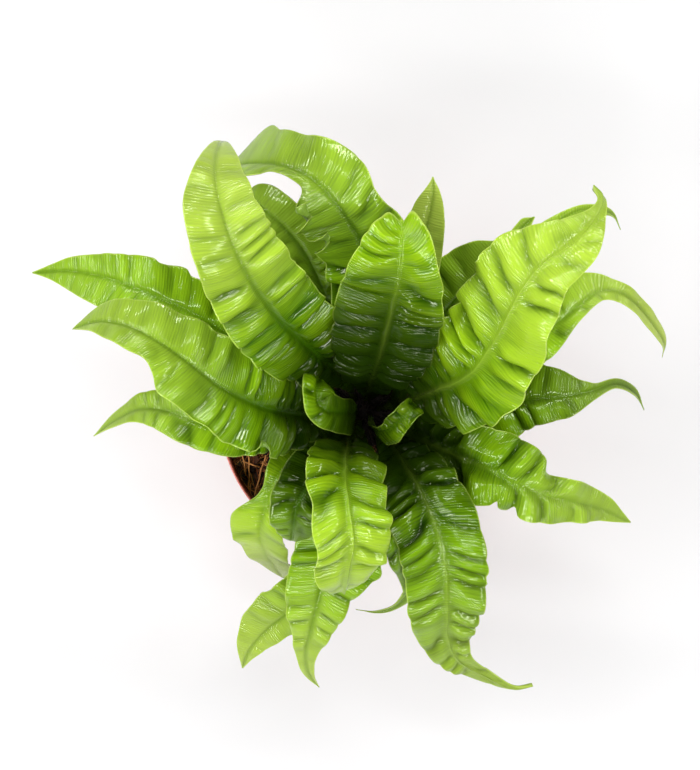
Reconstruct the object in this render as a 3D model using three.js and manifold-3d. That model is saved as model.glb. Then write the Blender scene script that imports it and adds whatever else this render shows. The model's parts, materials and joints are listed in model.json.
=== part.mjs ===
// A crispy wave fern, a bird's nest fern with rippled strap fronds, growing in a round plastic nursery pot.
// Millimetres, +Z up. The origin is the centre of the pot's foot, and +Y is the back of the plant.
// Each frond is one solid: a stalk that widens into a thin blade with a midrib and pleated halves.
import * as THREE from "three";
import { mergeVertices } from "three/addons/utils/BufferGeometryUtils.js";
import Module from "manifold-3d";

const wasm = await Module();
wasm.setup();

// Driving dimensions
const pot = {
  height: 120,
  rimRadius: 70,
  rimBandHeight: 15,
  rimBandStep: 2.6,
  rimRounding: 0.8,
  footRadius: 50,
  footRingWidth: 5,
  footPadRadius: 14,
  footRecess: 3,
  wall: 1.7,
  floor: 2.2,
  sides: 36,
  drainHoles: 6,
  drainHoleRadius: 5,
  drainHoleCircle: 30,
};
const soil = { top: 109, mound: 3, roughness: 1.5, edgeDrop: 2, sides: 36 };
const crown = { top: 127, bottom: 100, baseRadius: 19, shoulderRadius: 13, roughness: 0.6, sides: 18 };
const stalk = { halfWidth: 1.6, thickness: 2.6, edgeThickness: 0.9 };
const blade = { thickness: 1, ribThickness: 1.9 };
const seat = 0.35; // gap between pieces that touch

// Shares of a frond's length
const ripples = { start: 0.12, end: 0.98, fade: 0.78 };
const bladeStart = { from: 0.08, to: 0.24 };
const frameSteps = 160;

// Outline of a blade: share of the frond's length against share of its greatest half width
const outlines = {
  blunt: [
    [0, 0], [0.1, 0], [0.2, 0.3], [0.32, 0.72], [0.46, 0.96], [0.6, 1],
    [0.74, 0.95], [0.84, 0.76], [0.92, 0.5], [0.97, 0.26], [1, 0],
  ],
  full: [
    [0, 0], [0.1, 0], [0.2, 0.3], [0.32, 0.74], [0.46, 0.97], [0.6, 1],
    [0.76, 0.98], [0.86, 0.84], [0.93, 0.6], [0.97, 0.34], [1, 0],
  ],
  shield: [
    [0, 0], [0.1, 0], [0.2, 0.25], [0.32, 0.58], [0.46, 0.84], [0.6, 0.98],
    [0.7, 1], [0.8, 0.93], [0.88, 0.78], [0.94, 0.55], [1, 0],
  ],
  pointed: [
    [0, 0], [0.1, 0], [0.2, 0.26], [0.32, 0.68], [0.43, 0.95], [0.55, 1],
    [0.68, 0.9], [0.8, 0.66], [0.88, 0.43], [0.94, 0.2], [1, 0],
  ],
  tailed: [
    [0, 0], [0.1, 0], [0.2, 0.25], [0.32, 0.68], [0.43, 0.96], [0.53, 1],
    [0.65, 0.86], [0.75, 0.55], [0.84, 0.25], [0.92, 0.1], [1, 0],
  ],
  broad: [
    [0, 0], [0.1, 0], [0.2, 0.28], [0.3, 0.58], [0.38, 0.78], [0.5, 0.98],
    [0.6, 1], [0.7, 0.9], [0.8, 0.62], [0.88, 0.42], [0.93, 0.18], [1, 0],
  ],
  wavy: [
    [0, 0], [0.1, 0], [0.2, 0.3], [0.34, 0.85], [0.46, 1.12], [0.55, 1.04],
    [0.62, 0.68], [0.7, 0.56], [0.78, 0.56], [0.88, 0.34], [1, 0],
  ],
  hooked: [
    [0, 0], [0.1, 0], [0.2, 0.3], [0.32, 0.74], [0.44, 1], [0.54, 0.98],
    [0.63, 0.76], [0.69, 0.42], [0.75, 0.17], [0.85, 0.1], [1, 0],
  ],
  whip: [
    [0, 0], [0.1, 0], [0.2, 0.3], [0.32, 0.8], [0.42, 1], [0.53, 0.82],
    [0.62, 0.5], [0.7, 0.34], [0.8, 0.28], [0.9, 0.18], [1, 0],
  ],
  spoon: [
    [0, 0], [0.15, 0], [0.35, 0.12], [0.46, 0.25], [0.54, 0.55], [0.62, 0.9],
    [0.7, 1], [0.8, 0.88], [0.88, 0.6], [0.95, 0.28], [1, 0],
  ],
};

// Fronds in the order they grow out of the crown, oldest and lowest first.
// spine: points from root to tip; halfWidth: widest half; fold: how far each half is raised from flat,
// in degrees; waves: ripples on each side; ripple: their height; roll: where the blade leans to one side,
// share of the length against its turn about the rib in degrees
const fronds = [
  {
    name: "frond_pale_front_left",
    spine: [
      [-8, -6, 105], [-16, -11, 123], [-30, -19, 136], [-40, -28, 139], [-45, -38, 138], [-48, -48, 133],
      [-50, -58, 125], [-48, -68, 112], [-44, -76, 98], [-40, -83, 85],
    ],
    halfWidth: 14, outline: "spoon", fold: 8, waves: 6, ripple: 2, colour: 0x86b83c,
  },
  {
    name: "frond_left_low",
    spine: [
      [-10, -1, 106], [-21, -4, 128], [-40, -7, 148], [-61, -8, 159], [-79, -4, 162], [-92, 1, 160],
      [-105, 2, 153], [-118, -2, 141], [-130, -10, 127],
    ],
    halfWidth: 12.5, outline: "tailed", fold: 10, waves: 8, ripple: 2.4, colour: 0x6da32a,
  },
  {
    name: "frond_front_left_tip",
    spine: [
      [-2, -11, 104], [1, -18, 122], [1, -40, 137], [-5, -64, 139], [-19, -83, 133], [-35, -96, 124],
      [-48, -107, 114], [-56, -117, 105], [-60, -127, 94],
    ],
    halfWidth: 14.5, outline: "pointed", fold: 9, waves: 8, ripple: 2.4, colour: 0x78b02c,
  },
  {
    name: "frond_hooked_front",
    spine: [
      [4, -10, 105], [8, -14, 126], [12, -32, 146], [14, -50, 155], [17, -66, 150], [20, -77, 139],
      [22, -85, 128], [20, -92, 120], [14, -97, 114], [6, -99, 110], [-4, -98, 106],
    ],
    halfWidth: 9, outline: "tailed", fold: 12, waves: 7, ripple: 1.8, colour: 0x4f8a22,
  },
  {
    name: "frond_hooked_right",
    spine: [
      [10, 2, 106], [21, 0, 124], [41, 0, 140], [58, 2, 151], [77, 6, 158], [94, 8, 159],
      [107, 12, 155], [118, 15, 147], [127, 10, 137], [135, 1, 125],
    ],
    halfWidth: 13, outline: "hooked", fold: 10, waves: 8, ripple: 2.4, colour: 0x558f24,
  },
  {
    name: "frond_arching_right",
    spine: [
      [9, 6, 107], [21, 12, 131], [42, 21, 152], [64, 30, 171], [83, 38, 182], [96, 48, 188],
      [107, 56, 189], [117, 55, 186], [125, 50, 179], [133, 42, 169], [140, 33, 157], [141, 26, 146],
    ],
    halfWidth: 15, outline: "whip", fold: 10, waves: 9, ripple: 2.6, colour: 0x6fa62e,
  },
  {
    name: "frond_tail_right",
    spine: [
      [7, 9, 109], [19, 17, 138], [35, 33, 161], [53, 50, 180], [71, 69, 196], [84, 84, 203],
      [96, 91, 204], [107, 92, 198], [113, 90, 191], [117, 84, 184],
    ],
    halfWidth: 9.5, outline: "tailed", fold: 12, waves: 8, ripple: 1.8, colour: 0x86bb32,
  },
  {
    name: "frond_pointed_back",
    spine: [
      [2, 11, 108], [6, 22, 148], [13, 41, 186], [20, 60, 214], [26, 80, 233], [29, 95, 242],
      [29, 103, 244],
    ],
    halfWidth: 12.5, outline: "pointed", fold: 14, waves: 7, ripple: 1.8, colour: 0x8cc034,
  },
  {
    name: "frond_inner_back_left",
    spine: [
      [-5, 9, 108], [-9, 24, 138], [-14, 42, 166], [-19, 56, 187], [-24, 67, 204], [-29, 75, 216],
      [-35, 82, 224], [-42, 88, 228], [-48, 93, 227], [-54, 97, 221],
    ],
    halfWidth: 15, outline: "pointed", fold: 12, waves: 9, ripple: 2.2, colour: 0x5c9626,
  },
  {
    name: "frond_left_high",
    spine: [
      [-10, 4, 108], [-17, 11, 134], [-34, 21, 160], [-57, 33, 180], [-79, 46, 193], [-97, 54, 197],
      [-115, 61, 193], [-134, 65, 183], [-154, 65, 170],
    ],
    halfWidth: 16, outline: "pointed", fold: 10, waves: 9, ripple: 2.8, colour: 0x77ad2b,
  },
  {
    name: "frond_front_trailing",
    spine: [
      [-2, -7, 109], [-3, -16, 134], [-9, -36, 151], [-14, -59, 155], [-20, -82, 149], [-25, -103, 135],
      [-28, -116, 123], [-27, -127, 111], [-22, -136, 98],
    ],
    halfWidth: 17, outline: "tailed", fold: 9, waves: 9, ripple: 2.6, colour: 0x74ab2c,
  },
  {
    name: "frond_dark_front_left",
    spine: [
      [-6, -5, 111], [-10, -12, 136], [-17, -21, 162], [-25, -31, 177], [-31, -42, 180], [-33, -53, 172],
      [-34, -60, 160],
    ],
    halfWidth: 14, outline: "blunt", fold: 12, waves: 6, ripple: 2.6, colour: 0x4d8a20,
  },
  {
    name: "frond_wavy_right",
    spine: [
      [8, -4, 110], [16, -7, 142], [32, -15, 172], [48, -22, 189], [63, -28, 196], [79, -36, 194],
      [95, -40, 186], [109, -44, 175], [124, -51, 162],
    ],
    halfWidth: 19, outline: "wavy", fold: 8, waves: 6, ripple: 4.2, colour: 0x74b028,
  },
  {
    name: "frond_long_front",
    spine: [
      [4, -6, 114], [10, -10, 150], [17, -21, 180], [25, -35, 200], [32, -52, 209], [36, -70, 207],
      [37, -88, 197], [38, -103, 183], [44, -114, 171], [56, -122, 159], [70, -129, 151], [79, -128, 147],
    ],
    halfWidth: 19.5, outline: "tailed", fold: 10, waves: 11, ripple: 3, colour: 0x5c9c26,
  },
  {
    name: "frond_back_right",
    spine: [
      [5, 6, 112], [16, 18, 140], [29, 37, 170], [43, 54, 194], [56, 68, 210], [65, 80, 217],
      [72, 88, 218],
    ],
    halfWidth: 20, outline: "pointed", fold: 12, waves: 8, ripple: 2.6, colour: 0x639f28,
  },
  {
    name: "frond_broad_left",
    spine: [
      [-6, 1, 113], [-14, -2, 144], [-28, -1, 180], [-46, 3, 211], [-63, 12, 231], [-81, 26, 240],
      [-99, 37, 239], [-115, 41, 230], [-130, 38, 217],
    ],
    halfWidth: 21.5, outline: "pointed", fold: 9, waves: 10, ripple: 3.2, colour: 0x7eb52c,
  },
  {
    name: "frond_arching_back",
    spine: [
      [0, 6, 116], [2, 22, 158], [3, 42, 200], [3, 60, 229], [-2, 75, 247], [-11, 88, 258],
      [-23, 101, 261], [-36, 107, 255], [-51, 109, 241], [-61, 108, 228],
    ],
    halfWidth: 20, outline: "blunt", fold: 14, waves: 9, ripple: 2.6, colour: 0x7ab12c,
    roll: [[0, 0], [0.66, 3], [0.72, 18], [0.78, 45], [0.86, 56], [1, 60]],
  },
  {
    name: "frond_tall_left",
    spine: [
      [-4, 4, 118], [-9, 15, 160], [-22, 27, 205], [-38, 42, 248], [-51, 61, 277], [-58, 79, 289],
      [-62, 95, 288], [-63, 107, 279], [-62, 115, 265], [-61, 118, 250],
    ],
    halfWidth: 21.5, outline: "pointed", fold: 10, waves: 11, ripple: 3.2, colour: 0x8cc034,
  },
  {
    name: "frond_broad_front",
    spine: [
      [-1, -3, 118], [-6, -10, 165], [-9, -21, 205], [-9, -32, 224], [-7, -45, 232], [-6, -57, 230],
      [-8, -68, 221], [-9, -76, 209], [-10, -80, 196],
    ],
    halfWidth: 18, outline: "full", fold: 10, waves: 8, ripple: 3, colour: 0x96c83a,
  },
  {
    name: "frond_broad_right",
    spine: [
      [4, 1, 118], [17, 5, 160], [32, 11, 203], [47, 19, 238], [58, 36, 261], [66, 53, 276],
      [76, 65, 285], [88, 73, 288], [95, 82, 285], [97, 91, 278], [94, 96, 271],
    ],
    halfWidth: 25, outline: "broad", fold: 9, waves: 9, ripple: 3.6, colour: 0x90c634,
  },
  {
    name: "frond_centre_back",
    spine: [
      [1, 3, 119], [3, 15, 176], [7, 28, 218], [11, 45, 252], [14, 59, 270], [15, 71, 277],
      [15, 80, 275], [15, 86, 267],
    ],
    halfWidth: 23.5, outline: "shield", fold: 12, waves: 8, ripple: 3, colour: 0x84bb30,
  },
  {
    name: "young_frond_left",
    spine: [
      [-4, 0, 120], [-6, 1, 150], [-10, 3, 178], [-15, 4, 197], [-21, 5, 206], [-28, 5, 205], [-32, 4, 198],
    ],
    halfWidth: 10.5, outline: "spoon", fold: 4, waves: 5, ripple: 1.2, colour: 0x6ea52a,
  },
  {
    name: "young_frond_right",
    spine: [
      [3, -2, 120], [7, -7, 155], [10, -9, 182], [13, -8, 202], [16, -3, 213], [18, 1, 216],
      [21, 3, 214], [25, 1, 208],
    ],
    halfWidth: 5.5, outline: "spoon", fold: 10, waves: 5, ripple: 1, colour: 0x84b838,
  },
];

const smoothstep = (low, high, x) => {
  const t = Math.min(1, Math.max(0, (x - low) / (high - low)));
  return t * t * (3 - 2 * t);
};

// Value at x of a smooth line through keys [x, y]
function along(keys, x) {
  const last = keys.length - 1;
  let i = 0;
  while (i < last - 1 && keys[i + 1][0] <= x) i++;
  const slope = (k) => {
    const [a, b] = [keys[Math.max(0, k - 1)], keys[Math.min(last, k + 1)]];
    return (b[1] - a[1]) / (b[0] - a[0]);
  };
  const [[x0, y0], [x1, y1]] = [keys[i], keys[i + 1]];
  const span = x1 - x0;
  const t = Math.min(1, Math.max(0, (x - x0) / span));
  const [t2, t3] = [t * t, t * t * t];
  return (2 * t3 - 3 * t2 + 1) * y0 + (t3 - 2 * t2 + t) * span * slope(i)
    + (3 * t2 - 2 * t3) * y1 + (t3 - t2) * span * slope(i + 1);
}

// Axes carried along the spine without twisting, then rolled: tangent, side and face at even steps
function spineFrames({ spine, roll = [[0, 0], [1, 0]] }) {
  const curve = new THREE.CatmullRomCurve3(spine.map((p) => new THREE.Vector3(...p)), false, "centripetal");
  const heading = new THREE.Vector3().subVectors(curve.getPointAt(0.6), curve.getPointAt(0)).setZ(0);
  let side = new THREE.Vector3(heading.y, -heading.x, 0).normalize();
  const frames = [];
  for (let i = 0; i <= frameSteps; i++) {
    const share = i / frameSteps;
    const tangent = curve.getTangentAt(share);
    side = side.clone().addScaledVector(tangent, -side.dot(tangent)).normalize();
    const turn = THREE.MathUtils.degToRad(along(roll, share));
    const turned = side.clone().applyAxisAngle(tangent, turn);
    const face = new THREE.Vector3().crossVectors(turned, tangent);
    frames.push({ point: curve.getPointAt(share), tangent, side: turned, face });
  }
  return frames;
}

// How far share s of the length lies along the rippled stretch, and back
const rippleShare = (s) => (s - ripples.start) / (ripples.end - ripples.start);
const shareOf = (rippled) => ripples.start + (ripples.end - ripples.start) * rippled;

// Middle surface of a blade at share s of the length and v from -1 at one edge to 1 at the other
function bladePoint(frond, frames, s, v) {
  const { point, side, face } = frames[Math.round(s * frameSteps)];
  const wide = Math.max(0, along(outlines[frond.outline], s));
  const reach = stalk.halfWidth + (frond.halfWidth - stalk.halfWidth) * wide;
  const out = Math.abs(v) * reach;
  const fold = THREE.MathUtils.degToRad(frond.fold) * smoothstep(0.1, 0.3, s);
  const wave = Math.cos(2 * Math.PI * frond.waves * rippleShare(s)) * Math.sign(v);
  const lift = frond.ripple * wave * Math.abs(v) * wide * (1 - smoothstep(ripples.fade, 1, s));
  return point.clone()
    .addScaledVector(side, Math.sign(v) * out * Math.cos(fold))
    .addScaledVector(face, out * Math.sin(fold) * (1 - 0.3 * Math.abs(v)) + lift);
}

// Shares of the length where a frond has its cross sections: at each crest and trough of its ripples
function stations({ waves }) {
  const found = [0, ripples.start / 2];
  for (let k = 0; k <= 2 * waves; k++) found.push(shareOf(k / (2 * waves)));
  return [...found, 1];
}

const columns = [-1, -0.5, 0, 0.5, 1];

// Thickness of a frond: a round stalk that turns into a thin blade with a thicker rib
function thickness(s, v) {
  const round = Math.sqrt(1 - v * v);
  const stalkHere = THREE.MathUtils.lerp(stalk.edgeThickness, stalk.thickness, round);
  const ribHere = THREE.MathUtils.lerp(blade.ribThickness, blade.thickness, smoothstep(0.4, 1, s));
  const bladeHere = v === 0 ? ribHere : blade.thickness;
  return THREE.MathUtils.lerp(stalkHere, bladeHere, smoothstep(bladeStart.from, bladeStart.to, s));
}

// Closed thin solid over a grid of middle points: the same split of triangles on both faces
function shell(middle, thick) {
  const [rows, cols] = [middle.length, middle[0].length];
  const faceOf = (i, j) => {
    const [above, below] = [middle[Math.max(0, i - 1)][j], middle[Math.min(rows - 1, i + 1)][j]];
    const [left, right] = [middle[i][Math.max(0, j - 1)], middle[i][Math.min(cols - 1, j + 1)]];
    const down = new THREE.Vector3().subVectors(below, above);
    return new THREE.Vector3().subVectors(right, left).cross(down).normalize();
  };
  const at = [];
  for (const sign of [1, -1])
    for (let i = 0; i < rows; i++)
      for (let j = 0; j < cols; j++)
        at.push(...middle[i][j].clone().addScaledVector(faceOf(i, j), (sign * thick[i][j]) / 2).toArray());
  const index = [];
  const id = (under, i, j) => under * rows * cols + i * cols + j;
  const quad = (a, b, c, d) => index.push(a, b, c, a, c, d);
  for (let i = 0; i < rows - 1; i++) {
    for (let j = 0; j < cols - 1; j++) {
      const [a, b, c, d] = [[i, j], [i, j + 1], [i + 1, j + 1], [i + 1, j]];
      const ring = j < (cols - 1) / 2 ? [a, b, c, d] : [b, c, d, a];
      quad(...ring.map((p) => id(0, ...p)));
      const [p, q, r, t] = ring.map((k) => id(1, ...k));
      index.push(p, r, q, p, t, r);
    }
    quad(id(0, i, 0), id(0, i + 1, 0), id(1, i + 1, 0), id(1, i, 0));
    quad(id(0, i + 1, cols - 1), id(0, i, cols - 1), id(1, i, cols - 1), id(1, i + 1, cols - 1));
  }
  for (let j = 0; j < cols - 1; j++) {
    quad(id(0, 0, j + 1), id(0, 0, j), id(1, 0, j), id(1, 0, j + 1));
    quad(id(0, rows - 1, j), id(0, rows - 1, j + 1), id(1, rows - 1, j + 1), id(1, rows - 1, j));
  }
  const geometry = new THREE.BufferGeometry();
  geometry.setAttribute("position", new THREE.Float32BufferAttribute(at, 3));
  geometry.setIndex(index);
  return geometry;
}

function frondGeometry(frond) {
  const frames = spineFrames(frond);
  const rows = stations(frond);
  const middle = rows.map((s) => columns.map((v) => bladePoint(frond, frames, s, v)));
  return shell(middle, rows.map((s) => columns.map((v) => thickness(s, v))));
}

// The space that a stalk takes in the crown, a seat's gap larger all round and a little longer at the root
function socketGeometry(frond) {
  const frames = spineFrames(frond);
  const rows = [0, ripples.start / 2, ripples.start];
  const middle = rows.map((s) => columns.map((v) => {
    const { point, tangent, side } = frames[Math.round(s * frameSteps)];
    return point.clone()
      .addScaledVector(side, v * (stalk.halfWidth + seat))
      .addScaledVector(tangent, s === 0 ? -seat : 0);
  }));
  return shell(middle, rows.map((s) => columns.map((v) => thickness(s, v) + 2 * seat)));
}

function toSolid(geometry) {
  const bare = new THREE.BufferGeometry();
  bare.setAttribute("position", geometry.getAttribute("position").clone());
  if (geometry.index) bare.setIndex(geometry.index.clone());
  const merged = mergeVertices(bare, 1e-3);
  const kept = [];
  const corners = merged.index.array;
  for (let i = 0; i < corners.length; i += 3) {
    const [a, b, c] = corners.slice(i, i + 3);
    if (a !== b && b !== c && c !== a) kept.push(a, b, c);
  }
  return new wasm.Manifold(new wasm.Mesh({
    numProp: 3,
    vertProperties: new Float32Array(merged.getAttribute("position").array),
    triVerts: new Uint32Array(kept),
  }));
}

function toGeometry(solid) {
  const { numProp, vertProperties, triVerts } = solid.getMesh();
  const at = [];
  for (let i = 0; i < vertProperties.length; i += numProp) at.push(...vertProperties.slice(i, i + 3));
  const geometry = new THREE.BufferGeometry();
  geometry.setAttribute("position", new THREE.Float32BufferAttribute(at, 3));
  geometry.setIndex([...triVerts]);
  return geometry;
}

// A profile of [radius, height] points turned about the vertical axis
function turned(profile, sides) {
  const points = profile.map(([r, z]) => new THREE.Vector2(r, z));
  return new THREE.LatheGeometry(points, sides).rotateX(Math.PI / 2);
}

// Uneven height or depth of a rough surface, from a few crossing waves
function rough(x, y) {
  const broad = Math.sin(0.23 * x + 1.3) * Math.cos(0.19 * y - 0.4);
  const small = Math.sin(0.41 * x - 0.37 * y) * Math.cos(0.53 * y + 0.8);
  return broad + 0.6 * small;
}

// Outer radius of the pot's tapered wall at a height
const wallAt = (z) => THREE.MathUtils.lerp(pot.footRadius, pot.rimRadius - pot.rimBandStep, z / pot.height);
const potFloor = pot.footRecess + pot.floor;

// The pot stands on a ring and a middle pad, with the drainage holes in the recess between them
function potGeometry() {
  const bandFoot = pot.height - pot.rimBandHeight;
  const ringInner = pot.footRadius - pot.footRingWidth;
  const outer = [
    [0, 0],
    [pot.footPadRadius, 0],
    [pot.footPadRadius + 1, pot.footRecess],
    [ringInner - 1, pot.footRecess],
    [ringInner, 0],
    [pot.footRadius, 0],
    [wallAt(bandFoot), bandFoot],
    [pot.rimRadius - pot.rimRounding, bandFoot + pot.rimRounding],
    [pot.rimRadius, pot.height - pot.rimRounding],
    [pot.rimRadius - pot.rimRounding, pot.height],
  ];
  const inner = [
    [pot.rimRadius - pot.wall, pot.height - pot.rimRounding],
    [pot.rimRadius - pot.wall - 1, bandFoot + pot.rimBandStep],
    [wallAt(bandFoot) - pot.wall, bandFoot],
    [wallAt(0) - pot.wall, potFloor],
    [0, potFloor],
  ];
  let body = toSolid(turned([...outer, ...inner], pot.sides));
  for (let k = 0; k < pot.drainHoles; k++) {
    const angle = (2 * Math.PI * k) / pot.drainHoles;
    const drill = new THREE.CylinderGeometry(pot.drainHoleRadius, pot.drainHoleRadius, 4 * potFloor, 12)
      .rotateX(Math.PI / 2)
      .translate(pot.drainHoleCircle * Math.cos(angle), pot.drainHoleCircle * Math.sin(angle), 0);
    body = body.subtract(toSolid(drill));
  }
  return toGeometry(body);
}

// The soil fills the pot, rises a little to the middle and holds the crown in a pit
function soilGeometry() {
  const bottom = potFloor + seat;
  const gap = pot.wall + 1.5 * seat;
  const edge = wallAt(soil.top - soil.edgeDrop) - gap;
  const pit = crown.baseRadius + 2 * seat;
  const shares = [0.98, 0.86, 0.74, 0.62, 0.5, 0.38];
  const rings = shares.map((share) => [share * edge, soil.top + soil.mound * (1 - share)]);
  const profile = [
    [0, bottom],
    [wallAt(0) - gap, bottom],
    [edge, soil.top - soil.edgeDrop],
    ...rings,
    [pit, crown.bottom + 6],
    [pit, crown.bottom - seat],
    [0, crown.bottom - seat],
  ];
  const geometry = turned(profile, soil.sides);
  const at = geometry.getAttribute("position");
  for (let i = 0; i < at.count; i++) {
    const [x, y, z] = [at.getX(i), at.getY(i), at.getZ(i)];
    const isSurface = z >= soil.top - 1 && Math.hypot(x, y) > pit + 1;
    if (isSurface) at.setZ(i, z + soil.roughness * rough(x * 1.4, y * 1.4));
  }
  return geometry;
}

// The short stem that the fronds grow from, with a socket round each stalk
function crownGeometry() {
  const profile = [
    [0, crown.bottom],
    [crown.baseRadius, crown.bottom],
    [crown.baseRadius - 1, crown.bottom + 8],
    [crown.shoulderRadius + 2, crown.bottom + 16],
    [crown.shoulderRadius - 3, crown.top - 4],
    [crown.shoulderRadius - 7, crown.top],
    [0, crown.top + 1],
  ];
  const geometry = turned(profile, crown.sides);
  const at = geometry.getAttribute("position");
  for (let i = 0; i < at.count; i++) {
    const [x, y, z] = [at.getX(i), at.getY(i), at.getZ(i)];
    const radius = Math.hypot(x, y);
    if (z > crown.bottom + 1 && radius > 1) {
      const scale = 1 + (crown.roughness * rough(3 * x + z, 3 * y)) / radius;
      at.setXY(i, x * scale, y * scale);
    }
  }
  let body = toSolid(geometry);
  for (const frond of fronds) body = body.subtract(toSolid(socketGeometry(frond)));
  return toGeometry(body);
}

function piece(name, geometry, colour, roughness) {
  const material = new THREE.MeshStandardMaterial({ color: colour, roughness, metalness: 0 });
  material.flatShading = true;
  const mesh = new THREE.Mesh(geometry, material);
  mesh.name = name;
  return mesh;
}

const fern = new THREE.Group();
fern.add(piece("pot", potGeometry(), 0xa8503c, 0.55));
fern.add(piece("soil", soilGeometry(), 0x3a2417, 0.95));
fern.add(piece("crown", crownGeometry(), 0x35251a, 0.9));
for (const frond of fronds) fern.add(piece(frond.name, frondGeometry(frond), frond.colour, 0.3));

export default fern;
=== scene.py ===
import json
import math

import bpy
import numpy as np
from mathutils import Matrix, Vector


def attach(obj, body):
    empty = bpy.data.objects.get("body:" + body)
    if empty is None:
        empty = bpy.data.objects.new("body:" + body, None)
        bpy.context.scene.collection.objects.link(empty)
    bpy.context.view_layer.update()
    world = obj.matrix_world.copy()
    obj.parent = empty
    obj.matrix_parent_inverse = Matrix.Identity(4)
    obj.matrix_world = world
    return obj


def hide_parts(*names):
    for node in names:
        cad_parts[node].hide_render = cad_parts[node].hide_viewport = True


# A crispy wave fern in a nursery pot: fine fronds, crown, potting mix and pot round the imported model.
# Tables are in millimetres and the scene is in metres.
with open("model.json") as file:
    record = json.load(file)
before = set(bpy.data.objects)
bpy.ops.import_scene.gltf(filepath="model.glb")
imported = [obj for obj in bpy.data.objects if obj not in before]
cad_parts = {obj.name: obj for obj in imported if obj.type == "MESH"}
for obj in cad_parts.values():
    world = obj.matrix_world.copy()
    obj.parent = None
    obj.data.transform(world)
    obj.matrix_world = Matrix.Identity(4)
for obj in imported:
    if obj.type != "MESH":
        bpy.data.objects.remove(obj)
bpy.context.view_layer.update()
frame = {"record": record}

MM = 0.001
scene = bpy.context.scene

# Seeded numbers for all that is scattered
between = np.random.default_rng(11).uniform

# The photograph's view: straight down, from the camera's height, with the focal length in millimetres
CAMERA_PLACE = (-6.8, 13, 1300)
FOCAL_LENGTH = 114.2
SENSOR_WIDTH = 36

# Stalk and blade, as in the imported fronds
STALK_HALF_WIDTH = 1.6
STALK_THICKNESS = 2.6
STALK_EDGE = 0.9
BLADE_THICKNESS = 0.8
MARGIN_THICKNESS = 0.4
RIPPLE_START = 0.12
RIPPLE_END = 0.98

# Fineness of a blade: columns across half of it are closer at the rib and at the margin
SPINE_STEPS = 400
ROW_STEP = 0.72
WIDE_FROM = 16
WIDE_HALF = [0.03, 0.06, 0.1, 0.16, 0.23, 0.31, 0.39, 0.47, 0.55, 0.63, 0.71, 0.79, 0.86, 0.92, 0.965, 1]
NARROW_HALF = [0.04, 0.09, 0.16, 0.25, 0.35, 0.46, 0.57, 0.68, 0.79, 0.88, 0.95, 1]

# Unevenness of a blade: lean of its rows, shares of its waves and pleats, and heights in millimetres
SLANT = 0.3
COARSE_WAVE = 0.6
PLEAT_JITTER = 0.65
SIDE_JITTER = 0.14
PLEAT_VARIETY = 0.55
FRILL = 0.5
PLEAT_FLARE = 0.026
VEIN_RELIEF = 0.06
MARGIN_DROP = 0.7

# Curls drawn for each blade's crisp margin, where they start, and the most that one turns, in radians
SMALL_CURLS = 4
CURL_START = 0.88
CURL_LIMIT = 5.4

# Ribs: half width at foot and tip, and the height of a raised rib, a sunk rib and the rib underneath
RIB_WIDTHS = (1.9, 0.8)
RAISED_RIB = 2.4
SUNK_RIB = 1.5
LOWER_RIB = 1.3
LOWER_RIB_WIDTH = 0.9

# Distance from the middle over which the leaves come out of the shade
SHADE_FROM = 15
SHADE_TO = 98

# Outline of a blade between foot and tip: share of the frond's length against share of its half width
OUTLINES = dict(
    blunt=[
        [0.1, 0], [0.2, 0.3], [0.32, 0.72], [0.46, 0.96], [0.6, 1], [0.74, 0.95], [0.84, 0.76], [0.92, 0.5],
        [0.97, 0.26],
    ],
    full=[
        [0.1, 0], [0.2, 0.3], [0.32, 0.74], [0.46, 0.97], [0.6, 1], [0.76, 0.98], [0.86, 0.84], [0.93, 0.6],
        [0.97, 0.34],
    ],
    shield=[
        [0.1, 0], [0.2, 0.25], [0.32, 0.58], [0.46, 0.84], [0.6, 0.98], [0.7, 1], [0.8, 0.93], [0.88, 0.78],
        [0.94, 0.55],
    ],
    pointed=[
        [0.1, 0], [0.2, 0.26], [0.32, 0.68], [0.43, 0.95], [0.55, 1], [0.68, 0.9], [0.8, 0.66], [0.88, 0.43],
        [0.94, 0.2],
    ],
    tailed=[
        [0.1, 0], [0.2, 0.25], [0.32, 0.68], [0.43, 0.96], [0.53, 1], [0.65, 0.86], [0.75, 0.55],
        [0.84, 0.25], [0.92, 0.1],
    ],
    broad=[
        [0.1, 0], [0.2, 0.28], [0.3, 0.58], [0.38, 0.78], [0.5, 0.98], [0.6, 1], [0.7, 0.9], [0.8, 0.62],
        [0.88, 0.42], [0.93, 0.18],
    ],
    wavy=[
        [0.1, 0], [0.2, 0.3], [0.34, 0.85], [0.46, 1.12], [0.55, 1.04], [0.62, 0.68], [0.7, 0.56],
        [0.78, 0.56], [0.88, 0.34],
    ],
    hooked=[
        [0.1, 0], [0.2, 0.3], [0.32, 0.74], [0.44, 1], [0.54, 0.98], [0.63, 0.76], [0.69, 0.42], [0.75, 0.17],
        [0.85, 0.1],
    ],
    whip=[
        [0.1, 0], [0.2, 0.3], [0.32, 0.8], [0.42, 1], [0.53, 0.82], [0.62, 0.5], [0.7, 0.34], [0.8, 0.28],
        [0.9, 0.18],
    ],
    young=[
        [0.15, 0], [0.35, 0.16], [0.48, 0.55], [0.58, 0.95], [0.68, 1], [0.8, 1], [0.9, 0.92], [0.96, 0.62],
    ],
    spoon=[
        [0.15, 0], [0.35, 0.12], [0.46, 0.25], [0.54, 0.55], [0.62, 0.9], [0.7, 1], [0.8, 0.88], [0.88, 0.6],
        [0.95, 0.28],
    ],
)

# What a frond has where its own entry says nothing else
USUAL = dict(
    pale=0.25, foot=0.42, forward=0, flat_from=0.5, calm_to=-1, notch=0, curls=[],
    roll=[[0, 0], [1, 0]], fold_rise=[], left=[], right=[],
)


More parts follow.
